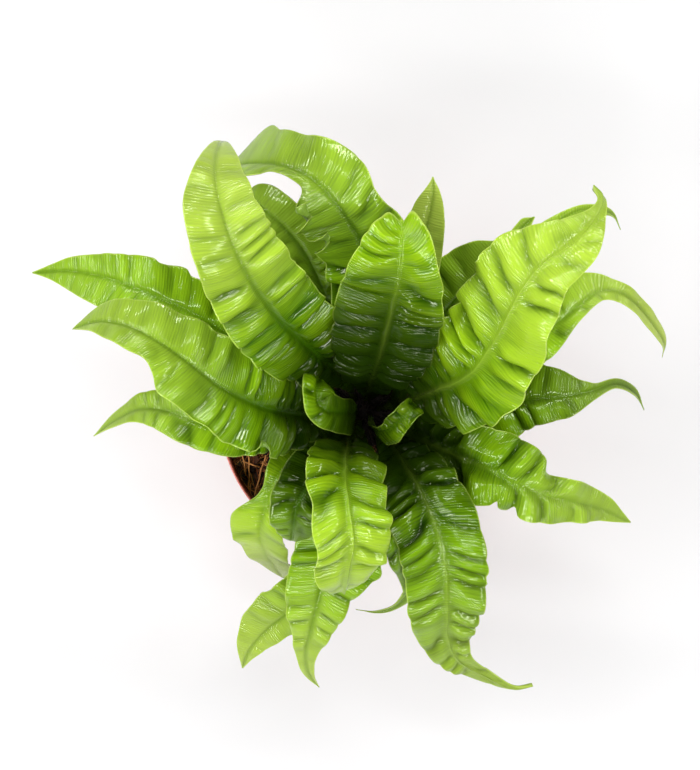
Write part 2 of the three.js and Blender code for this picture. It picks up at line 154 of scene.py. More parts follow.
def leaf(name, **own):
    """Adds a frond. What multiplies its outline or fold starts at 1 and, unless it says so, ends at 1."""
    frond = {"name": name, **USUAL, **own}
    for setting in ("left", "right", "fold_rise"):
        keys = [[0, 1], *frond[setting]]
        frond[setting] = keys if keys[-1][0] == 1 else [*keys, [1, 1]]
    FRONDS.append(frond)


FRONDS = []

# After the spine's points: fold at the midrib in degrees, number and height of waves and of pleats, rib at
# foot and tip (above 0 raised, below 0 sunk), tone of the green and its pale tip (both partly painted light),
# dark share at the foot (partly painted shade), length taken into the light, share from which it lies flat,
# then curls, roll and trims.
leaf(
    "frond_pale_front_left",
    spine=[
        [-8, -6, 105], [-16, -11, 123], [-30, -19, 136], [-40, -28, 139], [-45, -38, 138], [-48, -48, 133],
        [-50, -58, 125], [-48, -68, 112], [-44, -76, 98], [-40, -83, 85],
    ],
    half_width=14, outline="spoon", fold=8, waves=[6, 2], pleats=[7, 0.5], rib=[-0.3, -0.2], tone=0.85,
    pale=0.8,
    right=[
        [0.25, 1], [0.3, 5], [0.35, 5], [0.4, 2.6], [0.45, 1], [0.5, 0.75], [0.55, 1.2], [0.6, 1.25],
        [0.67, 1.12], [0.75, 1.02],
    ],
)
leaf(
    "frond_left_low",
    spine=[
        [-10, -1, 106], [-21, -4, 128], [-40, -7, 148], [-61, -8, 159], [-79, -4, 162], [-92, 1, 160],
        [-105, 2, 153], [-118, -3.5, 141], [-130, -11.5, 127],
    ],
    half_width=12.5, outline="tailed", fold=10, waves=[8, 2.4], pleats=[13, 0.7], rib=[-0.45, -0.35],
    tone=0.5, pale=0.45,
)
leaf(
    "frond_front_left_tip",
    spine=[
        [-2, -11, 104], [1, -18, 122], [1, -40, 137], [-5, -64, 139], [-19, -83, 133], [-35, -96, 124],
        [-48, -107, 114], [-56, -117, 105], [-60, -127, 94],
    ],
    half_width=14.5, outline="pointed", fold=9, waves=[8, 2.4], pleats=[12, 0.8], rib=[-0.5, -0.45],
    tone=0.55, pale=0.6,
    left=[[0.68, 1], [0.8, 0.84], [1, 0.8]],
    right=[[0.6, 1.2], [0.7, 1.47], [0.8, 1.6], [0.87, 1.38]],
)
leaf(
    "frond_hooked_front",
    spine=[
        [4, -10, 105], [8, -14, 126], [12, -32, 146], [14, -50, 155], [17, -66, 150], [20, -77, 139],
        [22, -85, 128], [19, -91, 120], [13, -95.5, 114], [5, -97.5, 110], [-4, -97, 106],
    ],
    half_width=9, outline="tailed", fold=12, waves=[7, 1.8], pleats=[10, 0.8], rib=[-0.4, -0.5], tone=0.3,
    left=[[0.7, 1], [0.78, 0.6], [1, 0.6]],
    right=[[0.5, 0.9], [0.58, 0.7], [0.65, 0.5], [0.8, 0.6]],
)
leaf(
    "frond_hooked_right",
    spine=[
        [10, 2, 106], [21, 0, 124], [41, 0, 140], [58, 2, 151], [77, 6, 158], [94, 8, 159], [107, 10.5, 155],
        [118.5, 14, 147], [128.5, 10, 137], [135, 1, 125],
    ],
    half_width=13, outline="hooked", fold=10, waves=[8, 2.4], pleats=[13, 1], rib=[-0.5, -0.5], tone=0.45,
    pale=0.3,
    left=[[0.48, 1.12], [0.55, 1.42], [0.6, 1.34], [0.66, 1.2], [0.7, 0.88], [0.76, 0.45], [0.85, 0.55]],
    right=[[0.42, 1.12], [0.47, 1.22], [0.53, 1.02], [0.6, 0.98], [0.65, 1.1], [0.7, 1.05], [0.76, 0.9]],
)
leaf(
    "frond_arching_right",
    spine=[
        [9, 6, 107], [21, 12, 131], [42, 21, 152], [64, 30, 171], [83, 38, 182], [96, 48, 188],
        [107, 56, 189], [117, 55, 186], [125, 50, 179], [133, 42, 169], [140, 33, 157], [141, 26, 146],
    ],
    half_width=15, outline="whip", fold=10, waves=[9, 2.6], pleats=[13, 0.9], rib=[-0.4, -0.5], tone=0.7,
    pale=0.9, forward=10,
    left=[[0.55, 1.1], [0.62, 1.7], [0.66, 1.9], [0.685, 1.3], [0.71, 0.8], [0.8, 0.7], [1, 0.9]],
    right=[[0.5, 0.98], [0.55, 0.76], [0.6, 0.6], [0.65, 0.56], [0.7, 0.74]],
)
leaf(
    "frond_tail_right",
    spine=[
        [7, 9, 109], [19, 17, 138], [35, 33, 161], [53, 50, 180], [71, 69, 196], [84, 84, 203], [96, 91, 204],
        [107, 92, 198], [113, 90, 191], [117, 84, 184],
    ],
    half_width=9.5, outline="tailed", fold=12, waves=[8, 1.8], pleats=[12, 0.8], rib=[-0.4, -0.4], tone=0.5,
    left=[[0.7, 1], [0.77, 0.6], [0.86, 0.5], [1, 0.7]],
)
leaf(
    "frond_pointed_back",
    spine=[
        [2, 11, 108], [6, 22, 148], [13, 41, 186], [20, 60, 214], [26, 80, 233], [29, 95, 242],
        [29, 103, 244],
    ],
    half_width=12.5, outline="pointed", fold=14, waves=[7, 1.8], pleats=[10, 0.7], rib=[-0.3, -0.4], tone=1,
    pale=0.75, forward=55,
    left=[[0.8, 1.1], [0.9, 1.75], [0.95, 2.7], [0.98, 2.6]],
    right=[[0.78, 1.2], [0.9, 1.5], [0.95, 2], [0.98, 2]],
)
leaf(
    "frond_inner_back_left",
    spine=[
        [-5, 9, 108], [-9, 24, 138], [-14, 42, 166], [-19, 56, 187], [-24, 67, 204], [-29, 75, 216],
        [-35, 82, 224], [-42, 88, 228], [-48, 93, 227], [-54, 97, 221],
    ],
    half_width=15, outline="pointed", fold=12, waves=[9, 2.2], pleats=[15, 1.5], rib=[-0.5, -0.45], tone=1,
    forward=12,
    right=[[0.78, 1.05], [0.85, 1.58], [0.9, 2.4], [0.95, 3.8], [1, 3]],
)
leaf(
    "frond_left_high",
    spine=[
        [-10, 4, 108], [-17, 11, 134], [-34, 21, 160], [-57, 33, 180], [-79, 46, 193], [-97, 54, 197],
        [-115, 61, 193], [-134, 65, 183], [-154, 65, 170],
    ],
    half_width=16, outline="pointed", fold=10, waves=[9, 2.8], pleats=[15, 1], rib=[-0.6, -0.5], tone=0.55,
    pale=0.15,
    left=[[0.55, 1], [0.7, 1.14], [0.78, 1.25], [0.88, 1.25]],
    right=[[0.62, 0.98], [0.635, 1.14], [0.69, 1.06], [0.705, 1.17], [0.78, 1.02], [0.88, 0.88], [1, 0.9]],
)
leaf(
    "frond_front_trailing",
    spine=[
        [-2, -7, 109], [-3, -16, 134], [-9, -36, 151], [-14, -59, 155], [-20, -82, 149], [-25, -103, 135],
        [-28, -116, 123], [-27, -127, 111], [-22, -136, 98],
    ],
    half_width=17, outline="tailed", fold=9, waves=[9, 2.6], pleats=[13, 0.9], rib=[-0.5, -0.4], tone=0.55,
    pale=0.6, flat_from=0.6,
    left=[[0.38, 1], [0.44, 1.4], [0.5, 1.52], [0.54, 1.22], [0.57, 1.02], [0.61, 0.92], [0.8, 0.85]],
    right=[[0.66, 1], [0.75, 0.84], [0.9, 0.8]],
)
leaf(
    "frond_dark_front_left",
    spine=[
        [-6, -5, 111], [-10, -12, 136], [-17, -21, 162], [-25, -31, 177], [-31, -42, 180], [-33, -53, 172],
        [-34, -60, 160],
    ],
    half_width=14, outline="blunt", fold=12, waves=[6, 2.6], pleats=[10, 0.9], rib=[-0.5, -0.5], tone=0.7,
    forward=-12, flat_from=0.75,
)
leaf(
    "frond_wavy_right",
    spine=[
        [8, -4, 110], [16, -7, 142], [32, -15, 172], [48, -22, 189], [63, -28, 196], [79, -36, 194],
        [95, -40, 186], [109, -44, 175], [124, -51, 162],
    ],
    half_width=19, outline="wavy", fold=8, waves=[6, 8], pleats=[10, 3.4], rib=[0.3, -0.3], tone=0.5,
    pale=0.4, foot=0.56, forward=-12, flat_from=0.55,
    left=[
        [0.4, 0.8], [0.47, 0.64], [0.52, 0.82], [0.56, 0.97], [0.6, 1.25], [0.645, 1.45], [0.665, 1.3],
        [0.685, 0.85], [0.75, 0.85],
    ],
    right=[
        [0.5, 0.86], [0.59, 0.92], [0.604, 0.78], [0.616, 1.05], [0.643, 1.1], [0.655, 0.85], [0.668, 1.2],
        [0.72, 1.12], [0.8, 0.9], [0.9, 0.78],
    ],
)
leaf(
    "frond_long_front",
    spine=[
        [4, -6, 114], [10, -10, 150], [17, -21, 180], [25, -35, 200], [32, -52, 209], [36, -70, 207],
        [37, -88, 197], [38, -103, 183], [44, -114, 171], [56, -122, 159], [70, -129, 151], [79, -128, 147],
    ],
    half_width=19.5, outline="tailed", fold=10, waves=[11, 3], pleats=[18, 1.7], rib=[0.5, 0.5], tone=0.3,
    pale=0.4, foot=0.56, flat_from=0.8,
    left=[[0.4, 1], [0.5, 1], [0.66, 0.96], [0.74, 0.88], [0.8, 0.75], [1, 0.9]],
    right=[[0.58, 1], [0.66, 1.06], [0.75, 1.06], [0.82, 1.15]],
)
leaf(
    "frond_back_right",
    spine=[
        [5, 6, 112], [16, 18, 140], [29, 37, 170], [43, 54, 194], [56, 68, 210], [67, 80, 217],
        [75, 87.5, 218],
    ],
    half_width=20, outline="pointed", fold=12, waves=[8, 2.6], pleats=[11, 1.1], rib=[-0.4, -0.5], tone=0.9,
    left=[[0.78, 1.1], [0.84, 1], [0.88, 0.35], [0.92, 0.3], [0.95, 0.8], [0.98, 1.8]],
)
leaf(
    "frond_broad_left",
    spine=[
        [-6, 1, 113], [-14, -2, 144], [-28, -1, 180], [-46, 3, 211], [-63, 12, 231], [-81, 26, 240],
        [-99, 37, 239], [-115, 41, 230], [-130, 38, 217],
    ],
    half_width=21.5, outline="pointed", fold=9, waves=[10, 3.2], pleats=[16, 1.6], rib=[-0.8, -0.45],
    tone=0.6, pale=0.35,
    curls=[[-1, 0.455, 0.011, 0.74, 1.3]],
    left=[[0.66, 1], [0.7, 1.1], [0.725, 1.1], [0.745, 0.84], [0.78, 0.66], [0.84, 0.8]],
    right=[[0.75, 1], [0.88, 1.18], [0.95, 1.6], [1, 1.3]],
)
leaf(
    "frond_arching_back",
    spine=[
        [0, 6, 116], [2, 22, 158], [3, 42, 200], [3, 60, 229], [-2, 75, 247], [-11, 88, 258], [-23, 101, 261],
        [-36, 107, 255], [-51, 109, 241], [-61, 108, 228],
    ],
    half_width=20, outline="blunt", fold=14, waves=[9, 2.6], pleats=[14, 1.9], rib=[-0.85, -0.5], tone=0.22,
    pale=0.3,
    curls=[[-1, 0.735, 0.014, 0.55, 1.3], [-1, 0.665, 0.012, 0.6, 1.4]],
    roll=[[0, 0], [0.66, 3], [0.72, 18], [0.78, 45], [0.86, 56], [1, 60]],
    left=[[0.7, 1], [0.74, 1.28], [0.755, 1.25], [0.775, 0.45], [0.8, 0.26], [0.86, 0.42], [0.91, 0.95]],
    right=[
        [0.6, 1.06], [0.65, 1.1], [0.7, 0.96], [0.75, 1.1], [0.8, 1.05], [0.85, 1.26], [0.9, 1.7], [0.95, 3],
        [0.98, 2.4],
    ],
)
leaf(
    "frond_tall_left",
    spine=[
        [-4, 4, 118], [-9, 15, 160], [-22, 27, 205], [-38, 42, 248], [-51, 61, 277], [-58, 79, 289],
        [-62, 95, 288], [-63, 107, 279], [-62, 115, 265], [-61, 118, 250],
    ],
    half_width=21.5, outline="pointed", fold=10, waves=[11, 3.2], pleats=[18, 1.6], rib=[-0.8, -0.3],
    tone=0.3, pale=0.6, flat_from=0.55,
    left=[[0.69, 1], [0.72, 1.06], [0.76, 1.06], [0.8, 1.14], [0.85, 0.8], [0.9, 0.58], [1, 0.6]],
)
leaf(
    "frond_broad_front",
    spine=[
        [-1, -3, 118], [-6, -10, 165], [-9, -21, 205], [-9, -32, 224], [-7, -45, 232], [-6, -57, 230],
        [-8, -68, 221], [-9, -76, 209], [-10, -80, 196],
    ],
    half_width=18, outline="full", fold=10, waves=[8, 3], pleats=[12, 1.75], rib=[0.6, 0.6], tone=0.8,
    pale=0.3, foot=0.64, forward=14, flat_from=0.75,
    left=[[0.25, 0.6], [0.36, 0.62], [0.43, 0.8], [0.5, 0.96], [0.56, 1], [0.85, 1], [0.9, 0.85], [1, 0.8]],
    right=[[0.25, 0.6], [0.36, 0.6], [0.43, 0.76], [0.5, 0.95], [0.56, 1], [0.85, 1], [0.9, 0.85], [1, 0.8]],
)
leaf(
    "frond_broad_right",
    spine=[
        [4, 1, 118], [17, 5, 160], [32, 11, 203], [47, 19, 238], [58, 36, 261], [66, 53, 276], [76, 65, 285],
        [88, 73, 288], [95, 82, 285], [98.5, 90.5, 278], [95.5, 95.5, 271],
    ],
    half_width=25, outline="broad", fold=9, waves=[9, 3.6], pleats=[14, 2.1], rib=[0.7, 0.7], tone=0.62,
    pale=0.4, foot=0.54, forward=2, flat_from=0.7,
    left=[
        [0.65, 1], [0.72, 1.12], [0.77, 1.26], [0.8, 1.22], [0.83, 0.98], [0.86, 0.94], [0.9, 0.92],
        [0.95, 0.6],
    ],
    right=[[0.8, 1], [0.86, 0.92], [0.9, 0.68], [0.95, 0.6], [1, 0.8]],
)
leaf(
    "frond_centre_back",
    spine=[
        [1, 3, 119], [3, 15, 176], [7, 28, 218], [11, 45, 252], [14, 59, 270], [15, 71, 277], [15, 81, 276],
        [15, 89, 270],
    ],
    half_width=23.5, outline="shield", fold=12, waves=[8, 3], pleats=[14, 1.8], rib=[0.5, 0.3], tone=0.75,
    pale=0, foot=0.74, forward=-14, flat_from=0.8, notch=9,
    fold_rise=[[0.72, 1], [0.9, 2.6], [1, 3.2]],
    left=[[0.7, 1.04], [0.8, 1.13], [0.88, 1.2], [0.95, 1.05], [1, 0.6]],
    right=[[0.85, 0.97], [0.95, 0.85], [1, 0.6]],
)
leaf(
    "young_frond_left",
    spine=[
        [-4, 0, 120], [-4, 0, 150], [-5, 0, 178], [-8, 1, 194], [-13, 1, 203], [-18, 2, 208], [-21, 5, 210],
        [-21.5, 9, 211], [-21.5, 13, 209], [-21, 15, 203], [-20.5, 16, 197],
    ],
    half_width=10.5, outline="young", fold=4, waves=[3, 0.8], pleats=[9, 0.8], rib=[-0.4, -0.5], tone=1,
    pale=0, forward=22, flat_from=1, calm_to=0.8, heading=[-1, 0.1, 0],
    left=[[0.5, 1.1], [0.68, 0.95], [0.78, 0.75], [1, 0.75]],
    right=[[0.5, 0.6], [0.68, 0.5], [0.8, 0.9]],
)
leaf(
    "young_frond_right",
    spine=[
        [3, -2, 120], [3, -4, 150], [4, -7, 178], [7, -8, 193], [11, -7, 204], [14, -4, 211], [17, -1, 215],
        [20, 2, 216], [22, 3, 213], [23, 3, 207],
    ],
    half_width=7, outline="young", fold=6, waves=[4, 0.8], pleats=[16, 1.3], rib=[-0.2, -0.2], tone=0.8,
    pale=0, forward=22, flat_from=1, calm_to=0.76, heading=[9, 8, 0],
    curls=[[-1, 0.88, 0.1, 0.4, 2], [1, 0.9, 0.09, 0.4, 2]],
    left=[[0.4, 0.5], [0.5, 0.3], [0.7, 0.35], [0.8, 0.65], [0.86, 1]],
    right=[[0.4, 1.6], [0.5, 1.5], [0.6, 1.25], [0.7, 1.1], [0.8, 0.85], [0.88, 1]],
)


def ramp(low, high, x):
    t = np.clip((x - low) / (high - low), 0, 1)
    return t * t * (3 - 2 * t)


def mix(a, b, t):
    return a + (b - a) * t


def along(keys, x):
    """Value at x of a smooth line through keys [x, y]."""
    kx, ky = np.array(keys, float).T
    before = np.maximum(np.arange(len(kx)) - 1, 0)
    after = np.minimum(np.arange(len(kx)) + 1, len(kx) - 1)
    slope = (ky[after] - ky[before]) / (kx[after] - kx[before])
    i = np.clip(np.searchsorted(kx, x, side="right") - 1, 0, len(kx) - 2)
    span = kx[i + 1] - kx[i]
    t = np.clip((x - kx[i]) / span, 0, 1)
    t2, t3 = t * t, t * t * t
    ends = (2 * t3 - 3 * t2 + 1) * ky[i] + (3 * t2 - 2 * t3) * ky[i + 1]
    return ends + ((t3 - 2 * t2 + t) * slope[i] + (t3 - t2) * slope[i + 1]) * span


def unit(vectors):
    return vectors / np.linalg.norm(vectors, axis=-1, keepdims=True)


def smooth_path(points, steps):
    """Even steps along a centripetal Catmull-Rom curve through the points, and its length."""
    p = np.array(points, float)
    p = np.vstack([2 * p[0] - p[1], p, 2 * p[-1] - p[-2]])
    gap = np.sqrt(np.linalg.norm(np.diff(p, axis=0), axis=1))
    u = np.linspace(0, 1, 40, endpoint=False)[:, None]
    spans = []
    for i in range(1, len(p) - 2):
        p0, p1, p2, p3 = p[i - 1:i + 3]
        a, b, c = gap[i - 1:i + 2]
        leave = ((p1 - p0) / a - (p2 - p0) / (a + b)) * b + p2 - p1
        arrive = p2 - p1 + ((p3 - p2) / c - (p3 - p1) / (b + c)) * b
        start = (2 * u**3 - 3 * u**2 + 1) * p1 + (u**3 - 2 * u**2 + u) * leave
        spans.append(start + (3 * u**2 - 2 * u**3) * p2 + (u**3 - u**2) * arrive)
    dense = np.vstack([*spans, p[-2]])
    walked = np.concatenate([[0], np.cumsum(np.linalg.norm(np.diff(dense, axis=0), axis=1))])
    at = np.linspace(0, walked[-1], steps)
    return np.stack([np.interp(at, walked, dense[:, k]) for k in range(3)], axis=1), walked[-1]


def turned(vectors, axes, angles):
    """Each vector turned about its axis."""
    c, s = np.cos(angles)[:, None], np.sin(angles)[:, None]
    dots = np.sum(axes * vectors, axis=1, keepdims=True)
    return vectors * c + np.cross(axes, vectors) * s + axes * dots * (1 - c)


def spine_axes(frond, steps):
    """Points, side and face directions down a frond's spine, carried without twisting and then rolled."""
    points, length = smooth_path(frond["spine"], steps)
    tangents = unit(np.gradient(points, axis=0))
    heading = frond.get("heading", points[round(0.6 * (steps - 1))] - points[0])
    side = np.array([heading[1], -heading[0], 0])
    sides = np.empty_like(points)
    for i, tangent in enumerate(tangents):
        side = side - tangent * (side @ tangent)
        side = side / np.linalg.norm(side)
        sides[i] = side
    sides = turned(sides, tangents, np.radians(along(frond["roll"], np.linspace(0, 1, steps))))
    return points, sides, np.cross(sides, tangents), length


def wander(x, seed):
    """Slow smooth noise between about -1 and 1."""
    draw = np.random.default_rng(seed)
    total = np.zeros_like(x)
    for k in range(4):
        total += np.sin((0.7 + 0.63 * k) * x + draw.uniform(0, math.tau)) / (1 + 0.4 * k)
    return total / 2.1


def pleat(phase):
    """Height of a pleat, from -1 in the narrow crease to 1 on its round back."""
    return 2 * np.abs(np.cos(math.pi * phase)) ** 0.9 - 1


def blade_surface(frond, seed):
    """Middle surface of a fine blade in rows and columns, and what its finish depends on."""
    points, sides, faces, length = spine_axes(frond, SPINE_STEPS)
    rows = int(length / ROW_STEP)
    half = WIDE_HALF if frond["half_width"] > WIDE_FROM else NARROW_HALF
    s = np.linspace(0, 1, rows)[:, None]
    v = np.array([-x for x in reversed(half)] + [0] + half)[None, :]
    away = np.abs(v)
    hand = np.sign(v)
    on_left = hand < 0

    # Reach from the rib: outline, trims and a stalk of even width
    outline = [[0, 0], *OUTLINES[frond["outline"]], [1, 0]]
    open_blade = ramp(0.15, 0.4, s) * (1 - ramp(0.75, 0.97, s))
    rough_reach = frond["half_width"] * np.maximum(0, along(outline, s))
    slant = SLANT * open_blade * (away - 0.6) * rough_reach / length
    at = np.clip(s + slant, 0, 1)
    wide = np.maximum(0, along(outline, at))
    trim = np.where(on_left, along(frond["left"], at), along(frond["right"], at))
    narrow = STALK_HALF_WIDTH * (1 - 0.8 * ramp(0.88, 1, at))
    reach = narrow + (frond["half_width"] - STALK_HALF_WIDTH) * wide * mix(1, trim, ramp(0, 0.4, away))

    # Waves, pleats and frills, fading towards the stalk and the tip
    place = (s - RIPPLE_START) / (RIPPLE_END - RIPPLE_START)
    waves, wave_height = frond["waves"]
    pleat_count, pleat_height = frond["pleats"]
    beat = place * pleat_count
    flat_from = frond["flat_from"]
    fade = 1 - 0.8 * ramp(flat_from, flat_from + 0.35, s) - 0.2 * ramp(0.92, 1, s)
    calm = frond["calm_to"]
    body = np.minimum(1, 1.5 * wide) * fade * (1.4 - 0.4 * ramp(0.2, 0.65, s))
    body = body * (1 - 0.8 * (1 - ramp(calm - 0.12, calm + 0.08, s)))
    coarse = np.cos(math.tau * waves * place) * hand * away * wide * (1 - ramp(0.78, 1, s))
    jitter = PLEAT_JITTER * wander(beat * 1.15 + 6 * on_left, seed) + SIDE_JITTER * wander(3 * away, seed + 5)
    pleats = pleat(beat + jitter + 0.25 * on_left)
    strength = 1 + PLEAT_VARIETY * wander(beat * 0.9 + 11 * on_left + 0.7 * away, seed + 1)
    depth = ramp(0.02, 0.4, away) * (1 - 0.45 * ramp(0.6, 1, away))
    bulge = pleats * strength * depth * body
    veins = wander(s * length * 1.9 + 0.3 * away, seed + 2)
    fine = VEIN_RELIEF * veins * ramp(0.1, 0.3, away) * body
    frill = FRILL * wander(beat * 2.6 + 17 * on_left, seed + 3) * ramp(0.6, 1, away)
    lift = COARSE_WAVE * wave_height * coarse + pleat_height * (bulge + frill * body) + fine
    lift -= MARGIN_DROP * ramp(0.88, 1, away) * body

    # Cross-section: both halves folded up at the rib, then lifted and curled
    out = away * reach * (1 + PLEAT_FLARE * pleats * strength * body * ramp(0.5, 1, away))
    fold = np.radians(frond["fold"] * along(frond["fold_rise"], s)) * ramp(0.1, 0.3, s)
    x = hand * out * np.cos(fold)
    z = out * np.sin(fold) * (1 - 0.3 * away) + lift
    for curl in frond["curls"] + small_curls(seed):
        x, z = curled(x, z, s, v, reach, fold, curl)

    notch = mix(ramp(0.78, 1, s) * (1 - away**2), 1, ramp(0.965, 1, s)) * frond["notch"]
    index = np.clip(at - notch / length, 0, 1) * (SPINE_STEPS - 1)
    known = np.arange(SPINE_STEPS)
    grid = np.zeros((rows, v.shape[1], 3))
    for k in range(3):
        middle, side, face = (np.interp(index, known, line[:, k]) for line in (points, sides, faces))
        grid[..., k] = middle + x * side + z * face
    low, high = frond["rib"]
    near_rib = np.exp(-((away * reach / mix(*RIB_WIDTHS, s)) ** 2))
    from_axis = np.hypot(grid[..., 0], grid[..., 1])
    even = 0 * reach
    looks = {
        "vein": s * length * MM + even,
        "across": away * reach * MM,
        "edge": (1 - away) * reach * MM,
        "share": s + even,
        "foot": 1 - ramp(frond["foot"] - 0.3, frond["foot"], s) + even,
        "tone": frond["tone"] + even,
        "paleness": frond["pale"] + even,
        "pleat": bulge,
        "rib": mix(low, high, ramp(0.45, 0.85, s)) * near_rib,
        "depth": ramp(SHADE_FROM, SHADE_TO, from_axis + frond["forward"]),
    }
    return grid, looks, s, v


def small_curls(seed):
    """A few short stretches where the crisp margin rolls over."""
    draw = np.random.default_rng(seed + 4)
    return [
        (draw.choice([-1, 1]), *draw.uniform((0.35, 0.008), (0.85, 0.02)), CURL_START, draw.uniform(1.2, 2.5))
        for _ in range(SMALL_CURLS)
    ]


def curled(x, z, s, v, reach, fold, curl):
    """Rolls a stretch of the margin up over the blade: curl holds hand, share, span, start and radius."""
    hand, share, span, start, radius = curl
    strength = np.exp(-(((s - share) / span) ** 2))
    beyond = np.maximum(0, hand * v - start) * reach
    bend = strength / radius
    angle = np.minimum(bend * beyond, CURL_LIMIT)
    safe = np.maximum(bend, 1e-4)
    along_x = np.where(bend > 1e-3, np.sin(angle) / safe, beyond)
    along_z = np.where(bend > 1e-3, (1 - np.cos(angle)) / safe, 0)
    taken = beyond - along_x
    return x - hand * taken * np.cos(fold), z + along_z - taken * np.sin(fold)


def grid_faces(rows, cols):
    """Quads of a closed shell over two grids of points, upper and lower."""
    i, j = np.meshgrid(np.arange(rows - 1), np.arange(cols - 1), indexing="ij")
    a = (i * cols + j).ravel()
    under = rows * cols
    upper = np.stack([a, a + 1, a + cols + 1, a + cols], axis=1)
    lower = upper[:, ::-1] + under
    left = np.arange(rows - 1) * cols
    right = left + cols - 1
    first = np.arange(cols - 1)
    last = first + (rows - 1) * cols
    rims = [(left, left + cols), (right + cols, right), (first + 1, first), (last, last + 1)]
    walls = [np.stack([a, b, b + under, a + under], axis=1) for a, b in rims]
    return np.vstack([upper, lower, *walls])


def new_object(name, data):
    thing = bpy.data.objects.new(name, data)
    scene.collection.objects.link(thing)
    return thing


def new_mesh(name, points, faces, attributes=None, smooth=True):
    """A mesh object from points in millimetres, faces of equal size and values at the points."""
    points = (np.asarray(points) * MM).astype(np.float32)
    faces = np.asarray(faces, np.int32)
    mesh = bpy.data.meshes.new(name)
    mesh.vertices.add(len(points))
    mesh.vertices.foreach_set("co", points.ravel())
    mesh.loops.add(faces.size)
    mesh.loops.foreach_set("vertex_index", faces.ravel())
    mesh.polygons.add(len(faces))
    mesh.polygons.foreach_set("loop_start", np.arange(0, faces.size, faces.shape[1], dtype=np.int32))
    mesh.update(calc_edges=True)
    mesh.polygons.foreach_set("use_smooth", np.full(len(faces), smooth))
    for key, values in (attributes or {}).items():
        layer = mesh.attributes.new(key, "FLOAT", "POINT")
        layer.data.foreach_set("value", np.asarray(values, np.float32).ravel())
    return new_object(name, mesh)


def build_frond(frond, seed):
    """Closed mesh of a frond: its middle surface made thick, with the rib and the stalk."""
    grid, looks, s, v = blade_surface(frond, seed)
    down = np.gradient(grid, axis=0)
    across = np.gradient(grid, axis=1)
    normals = unit(np.cross(across, down))
    blade = ramp(0.08, 0.24, s)
    round_stalk = mix(STALK_EDGE, STALK_THICKNESS, np.sqrt(1 - v * v))
    thin = mix(BLADE_THICKNESS, MARGIN_THICKNESS, ramp(0.5, 1, np.abs(v)))
    thick = mix(round_stalk, thin, blade)
    ribs = np.exp(-((looks["across"] / MM / LOWER_RIB_WIDTH) ** 2)) * blade * (1 - ramp(0.5, 1, s))
    upper = thick / 2 + np.where(looks["rib"] > 0, RAISED_RIB, SUNK_RIB) * looks["rib"] * blade
    lower = thick / 2 + LOWER_RIB * ribs
    points = np.concatenate([grid + normals * upper[..., None], grid - normals * lower[..., None]])
    rows, cols = grid.shape[:2]
    attributes = {key: np.concatenate([value, value]) for key, value in looks.items()}
    attributes["pleat"][rows:] *= -1
    attributes["under"] = np.repeat([0, 1], rows * cols)
    return new_mesh(frond["name"] + "_blade", points.reshape(-1, 3), grid_faces(rows, cols), attributes)


class Nodes:
    """Short way to write the nodes of a new material or world."""

    def __init__(self, name, world=False):
        self.owner = bpy.data.worlds.new(name) if world else bpy.data.materials.new(name)
        self.owner.use_nodes = True
        self.tree = self.owner.node_tree
        self.tree.nodes.clear()
        self.output = self.tree.nodes.new("ShaderNodeOutput" + ("World" if world else "Material"))

    def add(self, kind, inputs=None, **settings):
        node = self.tree.nodes.new("ShaderNode" + kind)
        for key, value in settings.items():
            setattr(node, key, value)
        for key, value in (inputs or {}).items():
            if isinstance(value, bpy.types.NodeSocket):
                self.tree.links.new(value, node.inputs[key])
            else:
                node.inputs[key].default_value = value
        return node.outputs

    def attribute(self, name):
        return self.add("Attribute", attribute_name=name)["Fac"]

    def maths(self, operation, a, b=0, clamp=False):
        return self.add("Math", {0: a, 1: b}, operation=operation, use_clamp=clamp)[0]

    def times(self, a, b, clamp=False):
        return self.maths("MULTIPLY", a, b, clamp)

    def plus(self, a, b):
        return self.maths("ADD", a, b)

    def swing(self, noise, strength):
        """A noise counted from its middle, times its strength."""
        return self.times(self.maths("SUBTRACT", noise, 0.5), strength)

    def span(self, value, low, high, start=0, end=1, kind="SMOOTHSTEP"):
        inputs = {0: value, 1: low, 2: high, 3: start, 4: end}
        return self.add("MapRange", inputs, interpolation_type=kind)[0]

    def mix(self, share, a, b, blend="MIX"):
        return self.add("Mix", {0: share, 6: a, 7: b}, data_type="RGBA", blend_type=blend)[2]

    def noise(self, vector, scale, detail=3, rough=0.5):
        inputs = {"Vector": vector, "Scale": scale, "Detail": detail, "Roughness": rough}
        return self.add("TexNoise", inputs)["Fac"]

    def bump(self, height, distance, strength, normal=None):
        inputs = {"Height": height, "Distance": distance, "Strength": strength}
        if normal is not None:
            inputs["Normal"] = normal
        return self.add("Bump", inputs)["Normal"]

    def surface(self, colour, rough, normal, **more):
        """The main shader. In the name of a further setting, _ stands for a space."""
        inputs = {"Base Color": colour, "Roughness": rough, "Normal": normal}
        inputs.update({key.replace("_", " "): value for key, value in more.items()})
        return self.add("BsdfPrincipled", inputs)[0]

    def finish(self, shader):
        self.tree.links.new(shader, self.output.inputs["Surface"])
        return self.owner


def rgb(red, green, blue):
    """A colour given as it looks on screen, 0 to 255, as linear light."""
    def linear(x):
        x = x / 255
        return x / 12.92 if x <= 0.04045 else ((x + 0.055) / 1.055) ** 2.4
    return (linear(red), linear(green), linear(blue), 1)


# A pale tip: partly the tip's own paler green, partly painted light
PALE_AND_LIT_TIP = rgb(198, 216, 98)
PALE_MARGIN = rgb(200, 224, 96)
DEEP_SHADE = rgb(22, 44, 4)
LIT_RIB = rgb(186, 214, 80)
# Painted shade in the groove of a sunk rib
SHADED_SUNK_RIB = rgb(60, 104, 8)
# Dark foot: the foot's own darker green and painted shade near the crown
DARK_FOOT_AND_SHADE = rgb(26, 46, 4)
BROWN_STALK = rgb(22, 18, 8)
LIGHT_THROUGH = rgb(200, 225, 20)
WAX_TINT = (0.94, 1, 0.76, 1)


